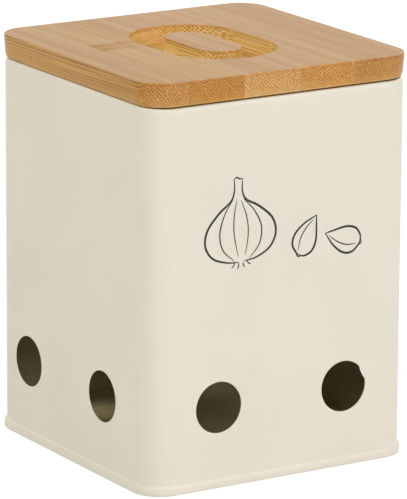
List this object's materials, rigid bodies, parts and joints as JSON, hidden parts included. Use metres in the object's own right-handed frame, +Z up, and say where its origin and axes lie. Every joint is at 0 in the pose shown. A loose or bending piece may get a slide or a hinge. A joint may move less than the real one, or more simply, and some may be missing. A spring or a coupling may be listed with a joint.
{
  "type": "garlic keeper",
  "caption": "Square steel storage tin with round vents near its foot and a lift-off laminated bamboo lid with a sunk oval grip.",
  "frame": {"origin": "centre of the tin's foot, on the surface that it stands on", "axes": "+Z up through the lid, -Y out of the front face, +X to the right as seen from the front"},
  "size_m": [0.1202, 0.1202, 0.1602],
  "materials": {
    "cream_coat": "satin powder coat",
    "bamboo": "oiled, sanded",
    "silicone": "matte",
    "black_print": "printed line"
  },
  "bodies": {
    "tin": {"tin_body": "cream_coat", "tin_base": "cream_coat"},
    "lid": {"lid_strip_1": "bamboo", "lid_strip_2": "bamboo", "lid_strip_3": "bamboo", "lid_strip_4": "bamboo", "lid_strip_5": "bamboo", "plug_strip_1": "bamboo", "plug_strip_2": "bamboo", "plug_strip_3": "bamboo", "plug_strip_4": "bamboo", "plug_strip_5": "bamboo", "seal_ring": "silicone"}
  },
  "joints": [
    {"name": "lid_lift", "type": "slide", "parent": "tin", "child": "lid", "axis": [0, 0, 1], "range_m": [0, 0.1]}
  ]
}
